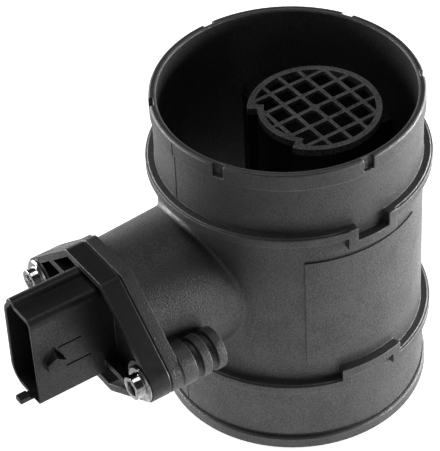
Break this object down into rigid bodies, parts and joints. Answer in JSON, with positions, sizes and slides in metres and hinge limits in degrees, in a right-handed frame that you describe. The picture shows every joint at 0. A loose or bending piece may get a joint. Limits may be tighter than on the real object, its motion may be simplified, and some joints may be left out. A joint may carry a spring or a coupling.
{
  "type": "mass airflow sensor",
  "caption": "Black mass airflow sensor: a ringed intake tube with a side branch that holds a plug-in sensor with a connector shroud and bright screws.",
  "frame": {"origin": "centre of the outlet rim's plane, on the tube's axis", "axes": "+Z along the tube's axis towards the inlet, -X along the side branch towards the connector's mouth, +Y completes the right-handed frame"},
  "size_m": [0.1411, 0.0844, 0.107],
  "materials": {
    "black_housing": "fine spark-eroded grain, satin black",
    "black_module": "finer grain than the tube, satin black",
    "dark_duct": "smooth dull black",
    "grille_plastic": "smooth dark grey",
    "cover_plastic": "smooth black",
    "carrier_aluminium": "rolled and bare",
    "board_ceramic": "white fired ceramic with printed tracks",
    "chip_body": "dull black moulded package",
    "sensor_film": "polished silicon with a thin film",
    "thermistor": "dipped bead on bright leads",
    "seal_rubber": "smooth moulded rubber",
    "screw_steel": "bright zinc-plated steel",
    "bush_brass": "turned",
    "terminal_metal": "tin-plated bronze"
  },
  "bodies": {
    "root": {"tube_housing": "black_housing", "inner_duct": "dark_duct", "flow_grille": "grille_plastic", "sensor_body": "black_module", "electronics_cover": "cover_plastic", "channel_cover": "cover_plastic", "carrier_plate": "carrier_aluminium", "hybrid_board": "board_ceramic", "evaluation_chip": "chip_body", "sensor_chip": "sensor_film", "temp_sensor": "thermistor", "seal_ring": "seal_rubber", "screw_far": "screw_steel", "screw_near": "screw_steel", "bush_far": "bush_brass", "bush_near": "bush_brass", "terminal_1": "terminal_metal", "terminal_2": "terminal_metal", "terminal_3": "terminal_metal", "terminal_4": "terminal_metal", "terminal_5": "terminal_metal"}
  },
  "joints": []
}
